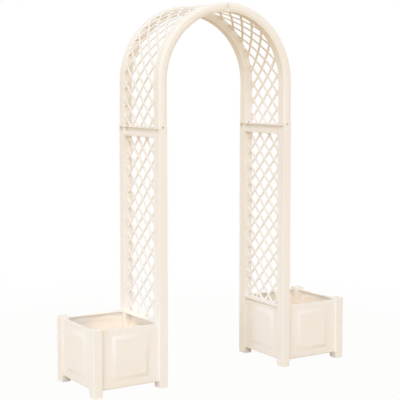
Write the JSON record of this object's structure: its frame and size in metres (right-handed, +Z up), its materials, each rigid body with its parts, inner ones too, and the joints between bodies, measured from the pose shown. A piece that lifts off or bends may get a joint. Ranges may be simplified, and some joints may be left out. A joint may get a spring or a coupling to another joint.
{
  "type": "garden arch",
  "caption": "Walk-through plastic garden arch: a round top and sides of diamond lattice between hollow posts, standing in two square planter boxes with raised panels.",
  "frame": {"origin": "middle of the footprint, on the ground", "axes": "+X across the passage, +Y through the passage from front to back, +Z up"},
  "size_m": [1.6, 0.43, 2.004],
  "materials": {
    "cream_plastic": "satin cream moulding",
    "lattice_plastic": "satin cream moulding",
    "floor_plastic": "plain cream moulding",
    "screw_steel": "plated steel"
  },
  "bodies": {
    "root": {"left_planter_floor": "floor_plastic", "left_planter_front_wall": "cream_plastic", "left_planter_back_wall": "cream_plastic", "left_planter_outer_wall": "cream_plastic", "left_planter_passage_wall": "cream_plastic", "left_corner_post_front": "cream_plastic", "left_corner_post_back": "cream_plastic", "left_tall_post_front": "cream_plastic", "left_tall_post_back": "cream_plastic", "left_trellis_lower_rail": "cream_plastic", "left_trellis_upper_rail": "cream_plastic", "left_trellis_lattice": "lattice_plastic", "left_arch_rib_front": "cream_plastic", "left_arch_rib_back": "cream_plastic", "left_arch_rail": "cream_plastic", "left_arch_lattice": "lattice_plastic", "right_planter_floor": "floor_plastic", "right_planter_front_wall": "cream_plastic", "right_planter_back_wall": "cream_plastic", "right_planter_outer_wall": "cream_plastic", "right_planter_passage_wall": "cream_plastic", "right_corner_post_front": "cream_plastic", "right_corner_post_back": "cream_plastic", "right_tall_post_front": "cream_plastic", "right_tall_post_back": "cream_plastic", "right_trellis_lower_rail": "cream_plastic", "right_trellis_upper_rail": "cream_plastic", "right_trellis_lattice": "lattice_plastic", "right_arch_rib_front": "cream_plastic", "right_arch_rib_back": "cream_plastic", "right_arch_rail": "cream_plastic", "right_arch_lattice": "lattice_plastic", "joint_screws": "screw_steel"}
  },
  "joints": []
}
